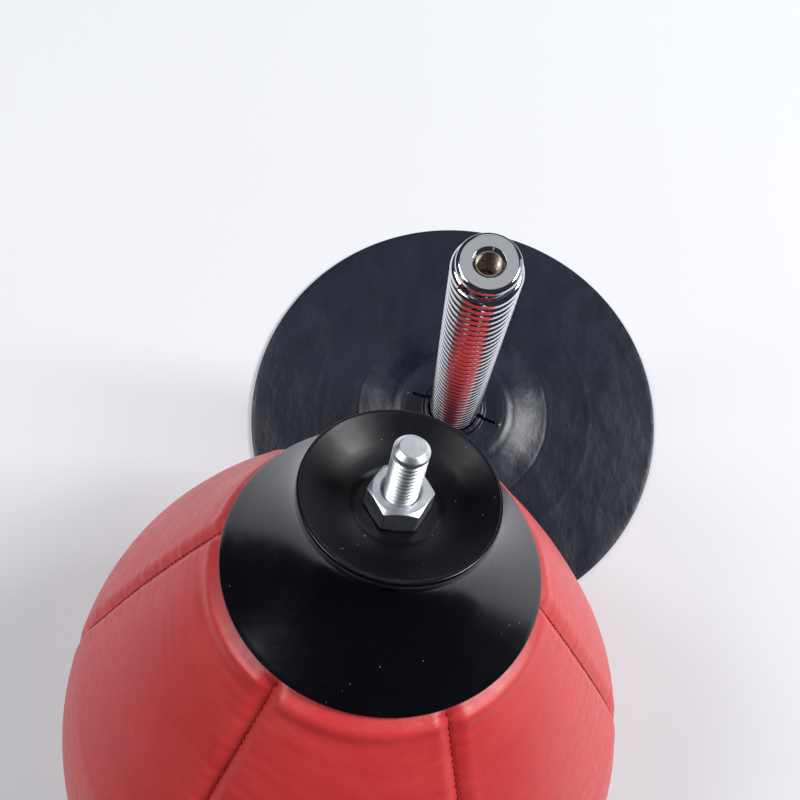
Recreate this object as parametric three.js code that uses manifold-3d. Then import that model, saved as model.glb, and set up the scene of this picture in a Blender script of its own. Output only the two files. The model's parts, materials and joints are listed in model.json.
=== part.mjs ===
// A desktop punching ball in its two units: the base (rubber suction cup with an upright coil spring) and the
// ball unit (stitched ball on a plastic cone, with a nut and a threaded stud), laid beside the base on one table.
// Millimetres, +Z up. The origin is the base's axis on the table.
import * as THREE from "three";
import { mergeVertices } from "three/addons/utils/BufferGeometryUtils.js";
import Module from "manifold-3d";

const wasm = await Module();
wasm.setup();

// ---- driving dimensions -------------------------------------------------------------------------------------
const GAP = 0.3; // clearance between pieces that touch
const RAD = Math.PI / 180;

// spring
const WIRE_R = 2;
const COIL_R = 8.6; // helix radius of the wire's centre
const PITCH = 4.32;
const COIL_START_Z = 10.58;
const FOOT_TURNS = 3;
const SECTION_TURNS = 4;
const SECTIONS = 7;
const TOP_TURNS = 2.896;
const WIRE_GAP = 0.35; // between the ends of two neighbouring sections, along the wire
const STEPS_PER_TURN = 10;

// suction cup
const CUP_R = 91;
const CAP_R = 26; // the low dome's shoulder
const CAP_Z = 9.8;
const LIP_TOP_Z = 12; // raised lip that hugs the spring
const LIP_OUTER_R = 13.2;
const WELL_R = COIL_R + WIRE_R + GAP;
const WELL_Z = 8.1; // floor that the spring stands on
const WEB_LOW_Z = 6.3; // underside of that floor
const SLITS = 4;
const SLIT_PHASE = -21; // degrees
const SLIT_END_R = 19.4;
const SLIT_FLOOR_Z = 7.4;

// spring plugs
const PLUG_SHANK_R = 6.3;
const LOWER_PLUG_TOP = 21.9;
const PLUG_TOP_Z = 161.4;
const PLUG_HEAD_R = 9.4;
const PLUG_HEAD_H = 2.1;
const THREAD_MINOR_R = 3.4;

// fasteners, all M8
const SHANK_R = 3.9;
const CLEAR_R = SHANK_R + GAP;
const HEX_AF = 13;
const STUD_HEAD_H = 5.3;
const BOLT_HEAD_H = 4.1;
const NUT_H = 6.5;
const NUT_PHASE = 48; // degrees
const WASHER_R = 14;
const WASHER_H = 1.1;

// ball unit, measured along its own axis from the ball's centre
const BALL_R = 84;
const LEATHER = 1.6;
const BLADDER_WALL = 1.5;
const PANELS = 6;
const SEAM_PHASE = 101; // degrees, one seam's place round the ball's axis
const FACE_Z = 121.8; // the cone's upper rim
const FACE_R = 21.5;
const LIP_R = 22.6;
const DISH_DEPTH = 6.6;
const BOSS_R = 9; // flat seat under the nut, and the boss below it
const CONE_RIM_Z = 93.2;
const CONE_RIM_R = 38.6;
const CONE_WALL = 2.4;
const STUD_OUT = 15.4; // stud above the cone's upper rim
const VALVE_R = 5;
const VALVE_BORE_R = 1.3;
const VALVE_SUNK = 0.4; // valve's end above the ball's lowest point
const MOUTH_R = 6;

// where the ball unit lies
const BALL_DISTANCE = 125.3;
const BALL_AZIMUTH = 250.4; // degrees, from the base to the ball
const BALL_LEAN = 25.9; // degrees, of the ball's axis towards the base

// ---- materials ----------------------------------------------------------------------------------------------
const material = (color, roughness, metalness = 0) =>
  new THREE.MeshStandardMaterial({ color, roughness, metalness });
const RUBBER = material(0x23262d, 0.62);
const INNER_RUBBER = material(0x2b2624, 0.7);
const BLACK_PLASTIC = material(0x0b0c10, 0.16);
const CHROME = material(0xc9cbd1, 0.14, 1);
const ZINC = material(0xb9bec4, 0.32, 1);
const LEATHER_RED = material(0xe2474b, 0.5);
const FELT = material(0x6f6a64, 0.95);

// ---- solids -------------------------------------------------------------------------------------------------
// A geometry with shared corners, no empty triangles and its faces pointing out.
function closed(geometry) {
  const bare = geometry.clone();
  bare.deleteAttribute("normal");
  bare.deleteAttribute("uv");
  const merged = mergeVertices(bare, 1e-4);
  const p = merged.getAttribute("position");
  const corners = merged.index.array;
  const kept = [];
  let volume = 0;
  const a = new THREE.Vector3();
  const b = new THREE.Vector3();
  const c = new THREE.Vector3();
  for (let i = 0; i < corners.length; i += 3) {
    const [i0, i1, i2] = corners.slice(i, i + 3);
    if (i0 === i1 || i1 === i2 || i2 === i0) continue;
    kept.push(i0, i1, i2);
    a.fromBufferAttribute(p, i0);
    b.fromBufferAttribute(p, i1);
    c.fromBufferAttribute(p, i2);
    volume += a.dot(b.cross(c));
  }
  if (volume < 0) kept.reverse();
  merged.setIndex(kept);
  return merged;
}

function toManifold(geometry) {
  const g = closed(geometry);
  const vertProperties = new Float32Array(g.getAttribute("position").array);
  const triVerts = new Uint32Array(g.index.array);
  return new wasm.Manifold(new wasm.Mesh({ numProp: 3, vertProperties, triVerts }));
}

function fromManifold(solid) {
  const mesh = solid.getMesh();
  const g = new THREE.BufferGeometry();
  g.setAttribute("position", new THREE.BufferAttribute(mesh.vertProperties, 3));
  g.setIndex(new THREE.BufferAttribute(mesh.triVerts, 1));
  return g;
}

const cut = (body, ...tools) => fromManifold(
  tools.reduce((left, tool) => left.subtract(toManifold(tool)), toManifold(body)));
const common = (a, b) => fromManifold(toManifold(a).intersect(toManifold(b)));

// A solid of revolution about Z from [radius, height] points, which start and end on the axis or form a loop.
function turned(points, segments) {
  const loop = points[0][0] > 0 ? [...points, points[0]] : points;
  const profile = loop.map(([r, z]) => new THREE.Vector2(r, z));
  return closed(new THREE.LatheGeometry(profile, segments).rotateX(Math.PI / 2));
}

function ring(inner, outer, low, high, segments) {
  return turned([[inner, low], [outer, low], [outer, high], [inner, high]], segments);
}

function rod(radius, low, high, chamfer, segments) {
  return turned([[0, low], [radius, low], [radius, high - chamfer], [radius - chamfer, high], [0, high]], segments);
}

function hexPrism(acrossFlats, low, high) {
  const shape = new THREE.Shape();
  const r = acrossFlats / 2 / Math.cos(30 * RAD);
  for (let k = 0; k < 6; k++) shape.lineTo(r * Math.cos(k * 60 * RAD), r * Math.sin(k * 60 * RAD));
  shape.curves.shift();
  shape.closePath();
  return new THREE.ExtrudeGeometry(shape, { depth: high - low, bevelEnabled: false }).translate(0, 0, low);
}

// The same prism with its corners turned off at 30 degrees, at the top and, for a nut, at the bottom too.
function hexBody(acrossFlats, low, high, bothEnds) {
  const r = acrossFlats / 2 / Math.cos(30 * RAD);
  const face = acrossFlats / 2 - 0.2;
  const drop = (r + 0.5 - face) * Math.tan(30 * RAD);
  const bottom = bothEnds ? [[face, low], [r + 0.5, low + drop]] : [[r + 0.5, low]];
  const turnedShape = turned([[0, low], ...bottom, [r + 0.5, high - drop], [face, high], [0, high]], 24);
  return common(hexPrism(acrossFlats, low, high), turnedShape);
}

function mesh(name, geometry, look) {
  const made = new THREE.Mesh(geometry, look);
  made.name = name;
  return made;
}

// ---- base ---------------------------------------------------------------------------------------------------
// Thin disc that rises to a low dome. A lip round the spring is slit in four, and the underside is hollow.
function suctionCup() {
  const lip = [
    [WELL_R, LIP_TOP_Z - 0.4], [WELL_R + 0.5, LIP_TOP_Z], [LIP_OUTER_R - 0.8, LIP_TOP_Z - 0.1],
    [LIP_OUTER_R, LIP_TOP_Z - 0.9], [LIP_OUTER_R + 0.7, CAP_Z],
  ];
  const top = [
    [CAP_R - 4, CAP_Z - 0.25], [CAP_R, CAP_Z - 0.9], [30, 7.5], [36, 4.9], [43, 3], [60, 2.7], [74, 2.4],
    [CUP_R - 1, 2.1], [CUP_R, 1.6],
  ];
  const under = [
    [CUP_R, 0.5], [CUP_R - 0.6, 0], [86, 0], [82, 0.7], [60, 1], [43, 1.3], [36, 3], [CAP_R, 5.2],
    [18, WEB_LOW_Z], [CLEAR_R, WEB_LOW_Z],
  ];
  const body = turned([...lip, ...top, ...under, [CLEAR_R, WELL_Z], [WELL_R, WELL_Z]], 40);
  const slits = [];
  for (let k = 0; k < SLITS; k++) {
    const outline = new THREE.Shape();
    outline.moveTo(WELL_R - 1, -1.1);
    outline.lineTo(SLIT_END_R, -0.6);
    outline.lineTo(SLIT_END_R, 0.6);
    outline.lineTo(WELL_R - 1, 1.1);
    outline.closePath();
    const slit = new THREE.ExtrudeGeometry(outline, { depth: LIP_TOP_Z, bevelEnabled: false });
    slit.translate(0, 0, SLIT_FLOOR_Z);
    slits.push(slit.rotateZ((SLIT_PHASE + (k * 360) / SLITS) * RAD));
  }
  return cut(body, ...slits);
}

const WASHER_TOP = WEB_LOW_Z - GAP;
const BOLT_HEAD_TOP = WASHER_TOP - WASHER_H - GAP;

function baseBolt() {
  const head = hexBody(HEX_AF, BOLT_HEAD_TOP - BOLT_HEAD_H, BOLT_HEAD_TOP, false);
  const shank = rod(SHANK_R, BOLT_HEAD_TOP - 1, LOWER_PLUG_TOP - 1.5, 0.8, 20);
  return fromManifold(toManifold(head).add(toManifold(shank)));
}

function lowerPlug() {
  const low = WELL_Z + GAP;
  return turned([
    [CLEAR_R, low], [PLUG_SHANK_R, low], [PLUG_SHANK_R, LOWER_PLUG_TOP - 0.8],
    [PLUG_SHANK_R - 0.8, LOWER_PLUG_TOP], [CLEAR_R, LOWER_PLUG_TOP],
  ], 24);
}

// ---- spring -------------------------------------------------------------------------------------------------
// The wire's centre line between two turn counts. The helix is right-handed and starts on the ball's side.
class Helix extends THREE.Curve {
  constructor(from, to) {
    super();
    this.from = from;
    this.to = to;
  }

  getPoint(t, target = new THREE.Vector3()) {
    const turn = this.from + (this.to - this.from) * t;
    const angle = BALL_AZIMUTH * RAD + turn * 2 * Math.PI;
    return target.set(COIL_R * Math.cos(angle), COIL_R * Math.sin(angle), COIL_START_Z + turn * PITCH);
  }
}

const WIRE_GAP_TURNS = WIRE_GAP / (2 * Math.PI * COIL_R);
const SPRING_TURNS = FOOT_TURNS + SECTIONS * SECTION_TURNS + TOP_TURNS;

function coil(from, to) {
  const section = new THREE.Shape();
  section.absarc(0, 0, WIRE_R, 0, 2 * Math.PI, false);
  const start = from === 0 ? from : from + WIRE_GAP_TURNS / 2;
  const end = to === SPRING_TURNS ? to : to - WIRE_GAP_TURNS / 2;
  const steps = Math.round((to - from) * STEPS_PER_TURN);
  return closed(new THREE.ExtrudeGeometry(section, {
    steps,
    curveSegments: 3,
    bevelEnabled: false,
    extrudePath: new Helix(start, end),
  }));
}

function upperPlug() {
  const headLow = PLUG_TOP_Z - PLUG_HEAD_H;
  const shankLow = COIL_START_Z + (SPRING_TURNS - TOP_TURNS) * PITCH + WIRE_R + 0.9;
  return turned([
    [THREAD_MINOR_R, shankLow], [PLUG_SHANK_R - 0.8, shankLow], [PLUG_SHANK_R, shankLow + 0.8],
    [PLUG_SHANK_R, headLow], [PLUG_HEAD_R, headLow], [PLUG_HEAD_R, PLUG_TOP_Z - 1.2],
    [PLUG_HEAD_R - 0.35, PLUG_TOP_Z - 0.4], [PLUG_HEAD_R - 1.2, PLUG_TOP_Z],
    [THREAD_MINOR_R + 0.9, PLUG_TOP_Z], [THREAD_MINOR_R, PLUG_TOP_Z - 0.9],
  ], 32);
}

// ---- ball unit ----------------------------------------------------------------------------------------------
const LIP_LOW_Z = FACE_Z - 3.4;
const NECK_R = LIP_R - 0.8;
const LEATHER_TOP = CONE_RIM_Z + 0.8;
const BALL_STEPS = 8; // from the valve to the neck
const STEPS_PER_PANEL = 5;
const PEAR_FROM = 65 * RAD; // polar angle at which the ball's sphere runs into its straighter neck

function coneSide(t, inset) {
  const r = NECK_R + (CONE_RIM_R - NECK_R) * t ** 1.6;
  return [r - inset, LIP_LOW_Z - t * (LIP_LOW_Z - CONE_RIM_Z - 0.8)];
}

// Dished face, lip, flared side and a boss down the middle that presses on the ball's mouth.
function coneShell() {
  const seat = FACE_Z - DISH_DEPTH;
  const dish = [];
  for (let k = 1; k <= 4; k++) {
    const r = BOSS_R + ((FACE_R - BOSS_R) * k) / 4;
    dish.push([r, seat + (DISH_DEPTH - 0.1) * (k / 4) ** 2]);
  }
  const outside = [];
  for (let k = 0; k <= 6; k++) outside.push(coneSide(k / 6, 0));
  const inside = [];
  for (let k = 6; k >= 1; k--) inside.push(coneSide(k / 6, CONE_WALL));
  const bossTop = seat - 3.6;
  return turned([
    [CLEAR_R, seat], [BOSS_R, seat], ...dish, [LIP_R - 0.5, FACE_Z - 0.2], [LIP_R, FACE_Z - 0.8],
    [LIP_R, LIP_LOW_Z + 0.5], ...outside, [CONE_RIM_R - 0.5, CONE_RIM_Z], [CONE_RIM_R - CONE_WALL, CONE_RIM_Z],
    ...inside, [NECK_R - CONE_WALL, bossTop + 3], [BOSS_R + 1, bossTop], [BOSS_R, bossTop - 1],
    [BOSS_R, LEATHER_TOP + GAP], [CLEAR_R, LEATHER_TOP + GAP],
  ], 32);
}

// Half outline of the ball, from the valve to the mouth, brought in by inset.
function ballOutline(inset, poleR, mouthR, steps) {
  const r = BALL_R - inset;
  const points = [[poleR, -Math.sqrt(r * r - poleR * poleR)]];
  for (let k = 1; k <= steps; k++) {
    const polar = Math.PI - (k / steps) * (Math.PI - PEAR_FROM);
    points.push([r * Math.sin(polar), r * Math.cos(polar)]);
  }
  const [r0, z0] = points[points.length - 1];
  const r1 = CONE_RIM_R - inset * 0.6;
  const z1 = CONE_RIM_Z - 1.6 - inset * 0.8;
  const bulge = 3;
  for (let k = 1; k <= 3; k++) {
    const t = k / 3;
    const out = bulge * 4 * t * (1 - t);
    points.push([r0 + (r1 - r0) * t + out * 0.84, z0 + (z1 - z0) * t + out * 0.54]);
  }
  points.push([CONE_RIM_R - 4, LEATHER_TOP - 0.9 - inset]);
  points.push([27, LEATHER_TOP - inset]);
  points.push([mouthR, LEATHER_TOP - inset]);
  return points;
}

function leatherShell() {
  const outside = ballOutline(0, VALVE_R + GAP, MOUTH_R, BALL_STEPS);
  const inside = ballOutline(LEATHER, VALVE_R + GAP, MOUTH_R, BALL_STEPS);
  return turned([...outside, ...inside.reverse()], PANELS * STEPS_PER_PANEL);
}

// One stitched panel: the part of the cover between two seams.
function coverPanel(shell, index) {
  const reach = 3 * BALL_R;
  const half = 180 / PANELS;
  const inset = GAP / 2 / Math.sin(half * RAD);
  const wedge = new THREE.Shape();
  wedge.moveTo(inset, 0);
  wedge.lineTo(inset + reach, -reach * Math.tan(half * RAD));
  wedge.lineTo(inset + reach, reach * Math.tan(half * RAD));
  wedge.closePath();
  const sector = new THREE.ExtrudeGeometry(wedge, { depth: 3 * BALL_R, bevelEnabled: false });
  sector.translate(0, 0, -1.5 * BALL_R);
  return common(shell, sector.rotateZ((SEAM_PHASE + half + index * 2 * half) * RAD));
}

const PLATE_TOP = LEATHER_TOP - LEATHER - GAP;
const PLATE_R = 24;
const PLATE_H = 1.5;
const HEAD_TOP = PLATE_TOP - PLATE_H - GAP;
const PAD_TOP = HEAD_TOP - STUD_HEAD_H - GAP;
const PAD_R = 20;
const PAD_H = 3;

function headPad() {
  return turned([[0, PAD_TOP - PAD_H], [PAD_R, PAD_TOP - PAD_H], [PAD_R, PAD_TOP], [0, PAD_TOP]], 20);
}

function bladder() {
  const outerInset = LEATHER + GAP;
  const innerInset = outerInset + BLADDER_WALL;
  const shape = (inset, top) => {
    const points = ballOutline(inset, VALVE_R + GAP, 1, BALL_STEPS).filter(([, z]) => z < 60);
    return [...points, [50, 73 - (inset - outerInset)], [28, top], [0, top]];
  };
  const outside = shape(outerInset, PAD_TOP - PAD_H - GAP);
  const inside = shape(innerInset, PAD_TOP - PAD_H - GAP - BLADDER_WALL);
  return turned([...outside.reverse(), ...inside], PANELS * STEPS_PER_PANEL);
}

function valveBody() {
  const low = -BALL_R + VALVE_SUNK;
  return turned([
    [VALVE_BORE_R, low], [VALVE_R, low], [VALVE_R, low + 6], [VALVE_R - 1.5, low + 14], [VALVE_BORE_R, low + 14],
  ], 16);
}

function valvePlug() {
  const top = -BALL_R + VALVE_SUNK - GAP;
  return turned([[0, top + 8.9], [1, top + 8], [1, top], [3, top], [2.6, top - 0.2], [0, top - 0.2]], 12);
}

function ballStud() {
  const head = hexBody(HEX_AF, HEAD_TOP - STUD_HEAD_H, HEAD_TOP, false);
  const shank = rod(SHANK_R, HEAD_TOP - 1, FACE_Z + STUD_OUT, 1, 20);
  return fromManifold(toManifold(head).add(toManifold(shank)));
}

function hexNut() {
  const low = FACE_Z - DISH_DEPTH + GAP;
  const body = hexBody(HEX_AF, low, low + NUT_H, true).rotateZ(NUT_PHASE * RAD);
  return cut(body, rod(CLEAR_R, low - 1, low + NUT_H + 1, 0.5, 20));
}

// ---- assembly -----------------------------------------------------------------------------------------------
function buildBase() {
  const base = new THREE.Group();
  base.add(
    mesh("suction_cup", suctionCup(), RUBBER),
    mesh("base_washer", ring(CLEAR_R, WASHER_R, WASHER_TOP - WASHER_H, WASHER_TOP, 24), ZINC),
    mesh("base_bolt", baseBolt(), ZINC),
    mesh("lower_spring_plug", lowerPlug(), CHROME),
    mesh("spring_foot_coil", coil(0, FOOT_TURNS), CHROME),
  );
  for (let k = 0; k < SECTIONS; k++) {
    const from = FOOT_TURNS + k * SECTION_TURNS;
    base.add(mesh(`spring_coil_${k + 1}`, coil(from, from + SECTION_TURNS), CHROME));
  }
  base.add(
    mesh("spring_top_coil", coil(SPRING_TURNS - TOP_TURNS, SPRING_TURNS), CHROME),
    mesh("upper_spring_plug", upperPlug(), CHROME),
  );
  return base;
}

function buildBallUnit() {
  const unit = new THREE.Group();
  const shell = leatherShell();
  for (let k = 0; k < PANELS; k++) unit.add(mesh(`cover_panel_${k + 1}`, coverPanel(shell, k), LEATHER_RED));
  unit.add(
    mesh("cone_shell", coneShell(), BLACK_PLASTIC),
    mesh("hex_nut", hexNut(), ZINC),
    mesh("ball_stud", ballStud(), ZINC),
    mesh("retaining_plate", ring(CLEAR_R, PLATE_R, PLATE_TOP - PLATE_H, PLATE_TOP, 24), ZINC),
    mesh("head_pad", headPad(), FELT),
    mesh("bladder", bladder(), INNER_RUBBER),
    mesh("valve_body", valveBody(), INNER_RUBBER),
    mesh("valve_plug", valvePlug(), INNER_RUBBER),
  );
  const towardBall = BALL_AZIMUTH * RAD;
  unit.rotation.set(0, BALL_LEAN * RAD, towardBall + Math.PI, "ZYX");
  unit.position.set(BALL_DISTANCE * Math.cos(towardBall), BALL_DISTANCE * Math.sin(towardBall), BALL_R);
  return unit;
}

const punchingBall = new THREE.Group();
punchingBall.add(buildBase(), buildBallUnit());

export default punchingBall;
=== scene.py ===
# A desktop punching ball in its two units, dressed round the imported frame: the base with its suction
# cup and coil spring, and the stitched ball with its plastic cone, nut and stud. Shapes are worked out
# in millimetres, in the axes of the unit that they belong to, and become metres in the frame's own axes
# when a mesh is made.
import json
import math

import bmesh
import bpy
import numpy as np
from mathutils import Matrix, Vector


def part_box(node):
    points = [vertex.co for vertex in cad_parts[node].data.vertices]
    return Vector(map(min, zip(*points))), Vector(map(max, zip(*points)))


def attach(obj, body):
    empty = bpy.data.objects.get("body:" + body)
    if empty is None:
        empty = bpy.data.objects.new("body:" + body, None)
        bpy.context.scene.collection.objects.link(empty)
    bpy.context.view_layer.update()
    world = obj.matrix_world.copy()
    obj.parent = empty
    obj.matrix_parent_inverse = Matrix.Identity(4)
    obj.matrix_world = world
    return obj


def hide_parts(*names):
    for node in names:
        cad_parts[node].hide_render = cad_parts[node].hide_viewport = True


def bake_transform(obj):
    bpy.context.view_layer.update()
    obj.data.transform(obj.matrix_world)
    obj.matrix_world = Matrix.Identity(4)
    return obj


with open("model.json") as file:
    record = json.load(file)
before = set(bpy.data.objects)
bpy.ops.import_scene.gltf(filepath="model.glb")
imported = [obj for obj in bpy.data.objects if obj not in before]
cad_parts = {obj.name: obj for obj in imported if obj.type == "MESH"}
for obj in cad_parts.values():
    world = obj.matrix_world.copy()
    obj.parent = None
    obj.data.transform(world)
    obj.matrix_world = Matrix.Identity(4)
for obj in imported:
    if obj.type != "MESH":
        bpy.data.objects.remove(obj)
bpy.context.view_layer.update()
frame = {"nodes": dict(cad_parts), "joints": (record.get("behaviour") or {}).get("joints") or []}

# ---- driving dimensions, in millimetres and degrees ----------------------------------------------
MM = 0.001
GAP = 0.3  # clearance between neighbours
SHARP = 40  # an edge that turns by more than this is drawn sharp

CUP_R = 91
CAP_R = 26  # the dome's flat top
LIP_H = 2.2
LIP_OUTER_R = 13.2
WEB_H = 1.8  # rubber between the washer and the spring's well
SLITS = 4
SLIT_PHASE = -21
SLIT_END_R = 19.4
PIP_AT = 20.8  # from the axis to the pip beyond each slit
PIP_H = 0.5
STEP_AT, RIDGE_AT = 42.4, 61  # faint rings in the disc's top
RING_H = 0.10
DISC_RIPPLES = ((0.09, 3, 0.4, 19), (0.06, 7, 2.1, 11), (0.05, 13, 4.0, 7), (0.03, 22, 1.3, 5))

WIRE_R = 2
COIL_R = 8.6  # from the spring's axis to the middle of its wire
WELL_R = COIL_R + WIRE_R + GAP
FOOT_TURNS = 3
SECTION_TURNS = 4
TOP_TURNS = 2.896
PLUG_SHANK_R = 6.3
PLUG_HEAD_R = 9.4

SHANK_R = 3.9
CLEAR_R = SHANK_R + GAP
THREAD_PITCH = 1.25
THREAD_DEPTH = 0.62
TIP_H = 1.6  # plain tip above the thread
HEX_AF = 13  # across flats
HEX_HEAD_H = 5.3
CHAMFER = 30  # slope of a hexagon's chamfered ends
BASE_BOLT_SHANK = 4  # plain shank above the base bolt's head
STUD_PHASE = 20
STUD_THREAD = 9  # how far the stud's thread goes on below the cone's face
NUT_PHASE = 48

BALL_R = 84
LEATHER = 1.6
BLADDER_WALL = 1.5
PLATE_R = 24
PAD_R = 20
VALVE_R = 5
VALVE_BORE_R = 1.3
PANELS = 6
SEAM_PHASE = 101
PEAR_FROM = 65  # where the ball's round goes over into its neck, from the stud's axis
NECK_BULGE = 1.0
NECK_OUT = np.array((0.84, 0.54))  # away from the neck's line, as radius and height
HOLLOW_AT = 45  # where the neck is a little flat
MOUTH_R = 6
ROW_STEP = 0.9
PANEL_COLUMNS = 61
SEAM_DRIFT = ((-1, 3), (1, -1), (-1, 1), (-6, -2), (1, 0), (0, -1))  # at the cone's rim, at the belly

# How far the leather moves in or out, by feature.
SWELL, SEAM_DEPTH, ROLL, PUCKER, CREASE = 0.45, 1.35, 0.26, 0.20, 0.09
WELT, BEHIND_WELT, PRESSED, BEHIND_PRESSED = 0.26, 0.20, 0.95, 0.25
HOLLOW, TURN_IN = 2.8, 0.18
RESTS_AT = 0.02  # the leather stays this far above the floor

DISH_DEPTH = 6.6
DISH_RING_AT = 15.4
BAND_H = 3.4
FACE_R = 21.5
LIP_R = 22.6
NECK_R = 21.8
CONE_RIM_R = 38.6
CONE_RIM_H = 0.8
CONE_WALL = 2.4
BOSS_R = 9
BOSS_ABOVE_STUD_END = 9.3
BOSS_BELOW_SEAT = 3.6

# Sides of the turned bodies.
CUP_SIDES, CONE_SIDES, NUT_SIDES, BLADDER_SIDES, VALVE_SIDES, VALVE_PLUG_SIDES = 320, 224, 192, 120, 72, 48
SIDES = 96

# ---- places, from the frame ----------------------------------------------------------------------
def box(node):
    """Lowest and highest corner of a CAD node, in millimetres."""
    low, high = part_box(node)
    return np.array(low) / MM, np.array(high) / MM


def centre(node):
    return Vector((box(node)[0] + box(node)[1]) / 2)


def ball_place():
    """The ball unit's own axes: from the ball's centre, +Z up its stud and +X towards the base."""
    plate = centre("retaining_plate")
    up = (centre("hex_nut") - plate).normalized()
    origin = plate - up * ((plate.z - BALL_R) / up.z)
    side = Vector((0, 0, 1)).cross(up).normalized()
    turn = Matrix((side.cross(up), side, up)).transposed()
    return Matrix.Translation(origin) @ turn.to_4x4()


BASE = Matrix.Identity(4)
BALL = ball_place()


def along_axis(node):
    """Lowest and highest place of a CAD node along the ball unit's own axis, in millimetres."""
    to_unit = np.array(BALL.inverted())
    points = np.array([v.co for v in frame["nodes"][node].data.vertices]) / MM
    heights = points @ to_unit[2, :3] + to_unit[2, 3]
    return heights.min(), heights.max()


LIP_TOP_Z = box("suction_cup")[1][2]
CAP_Z = LIP_TOP_Z - LIP_H
WEB_LOW_Z = box("base_washer")[1][2] + GAP
WELL_Z = WEB_LOW_Z + WEB_H
HINGES = [joint["pos_m"][2] / MM for joint in frame["joints"] if joint["name"].startswith("spring_bend")]
PITCH = (HINGES[1] - HINGES[0]) / SECTION_TURNS
COIL_START_Z = HINGES[0] - FOOT_TURNS * PITCH
SPRING_TURNS = FOOT_TURNS + (len(HINGES) - 1) * SECTION_TURNS + TOP_TURNS
CONE_RIM_Z = along_axis("cone_shell")[0]
FACE_Z = along_axis("hex_nut")[0] - GAP + DISH_DEPTH
BALL_AZIMUTH = math.atan2(BALL.translation.y, BALL.translation.x)
NECK_LINE = np.array((
    (BALL_R * math.sin(math.radians(PEAR_FROM)), BALL_R * math.cos(math.radians(PEAR_FROM))),
    (CONE_RIM_R + 0.5, CONE_RIM_Z - 1.0),
))


# ---- outlines and meshes -------------------------------------------------------------------------
ARC_STEPS = 4


def rounded(corners, closed=False):
    """The outline through corners (r, z, radius), each corner with a radius turned into an arc.
    corners may have leading axes, such as one outline for each direction round the axis."""
    corners = np.asarray(corners, float)
    points, radii = corners[..., :2], corners[..., 2]
    count = points.shape[-2]
    out = []
    for i in range(count):
        here = points[..., i, :]
        radius = radii[..., i]
        if np.max(radius) == 0 or (not closed and i in (0, count - 1)):
            out.append(here)
            continue
        before = points[..., i - 1, :] - here
        after = points[..., (i + 1) % count, :] - here
        reach_1 = np.linalg.norm(before, axis=-1)
        reach_2 = np.linalg.norm(after, axis=-1)
        before = before / reach_1[..., None]
        after = after / reach_2[..., None]
        half = np.arccos(np.clip((before * after).sum(-1), -1, 1)) / 2
        length = np.minimum(radius / np.tan(half), 0.48 * np.minimum(reach_1, reach_2))[..., None]
        first, last = here + before * length, here + after * length
        for s in np.linspace(0, 1, ARC_STEPS + 1):
            bow = 2 * s * (1 - s) * np.sin(half)[..., None]
            mixed = (1 - s) ** 2 * first + bow * here + s**2 * last
            out.append(mixed / ((1 - s) ** 2 + bow + s**2))
    return np.stack(out, axis=-2)


def curved(points, steps=8):
    """A smooth outline through points (Catmull-Rom)."""
    p = np.asarray(points, float)
    p = np.vstack([2 * p[0] - p[1], p, 2 * p[-1] - p[-2]])
    out = []
    for a, b, c, d in zip(p, p[1:], p[2:], p[3:]):
        for t in np.arange(steps) / steps:
            square, cube = (2 * a - 5 * b + 4 * c - d) * t**2, (3 * b - a - 3 * c + d) * t**3
            out.append(0.5 * (2 * b + (c - a) * t + square + cube))
    out.append(p[-2])
    return np.array(out)


def piece(name, vertices, faces, place, looks, sharp=SHARP):
    """A mesh object from vertices in millimetres on the axes of place, with its faces pointing out."""
    at = np.array(place)
    vertices = np.asarray(vertices, float) @ at[:3, :3].T + at[:3, 3]
    mesh = bpy.data.meshes.new(name)
    mesh.from_pydata((vertices * MM).tolist(), [], faces)
    work = bmesh.new()
    work.from_mesh(mesh)
    bmesh.ops.remove_doubles(work, verts=work.verts, dist=1e-7)
    bmesh.ops.recalc_face_normals(work, faces=work.faces)
    work.to_mesh(mesh)
    work.free()
    mesh.shade_smooth()
    mesh.set_sharp_from_angle(angle=math.radians(sharp))
    made = bpy.data.objects.new(name, mesh)
    bpy.context.scene.collection.objects.link(made)
    for look in looks if isinstance(looks, (list, tuple)) else [looks]:
        mesh.materials.append(look)
    return made


def around(segments):
    return np.arange(segments) * 2 * math.pi / segments


def turned(name, outline, segments, place, looks, closed=False, sharp=SHARP):
    """A body turned about Z. outline is (points, 2) of radius and height, or one such outline a segment."""
    outline = np.asarray(outline, float)
    if outline.ndim == 2:
        outline = np.broadcast_to(outline, (segments, *outline.shape))
    count = outline.shape[1]
    angle = around(segments)[:, None]
    r, z = outline[..., 0], outline[..., 1]
    vertices = np.stack([r * np.cos(angle), r * np.sin(angle), z], -1).reshape(-1, 3)
    faces = []
    for j in range(segments):
        k = (j + 1) % segments
        for i in range(count if closed else count - 1):
            n = (i + 1) % count
            faces.append((j * count + i, j * count + n, k * count + n, k * count + i))
    return piece(name, vertices, faces, place, looks, sharp)


def hex_radius(angle, phase):
    """Radius of a hexagon with slightly rounded corners, its first corner at phase degrees."""
    sharpness = 70
    flats = np.radians(phase + 30 + 60 * np.arange(6))
    reach = np.maximum(0, np.cos(angle[:, None] - flats)) ** sharpness
    return HEX_AF / 2 / reach.sum(1) ** (1 / sharpness)


def thread_rows(angle, crest, depth, high, low, fade):
    """Radius and height of a right-handed thread between two heights, one outline for each angle."""
    z = np.arange(high, low, -THREAD_PITCH / 12)
    turn = z[None, :] / THREAD_PITCH - angle[:, None] / (2 * math.pi)
    wave = np.clip(abs(turn % 1 * 2 - 1) * 1.35 - 0.12, 0, 1)
    wave = wave * wave * (3 - 2 * wave)
    share = np.clip((high - z) / fade, 0, 1) * np.clip((z - low) / fade, 0, 1)
    return np.stack([crest - depth * wave * share, np.broadcast_to(z, turn.shape)], -1)


def per_angle(points, segments):
    """The same corners for every angle."""
    points = np.asarray(points, float)
    return np.broadcast_to(points, (segments, *points.shape)).copy()


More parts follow.
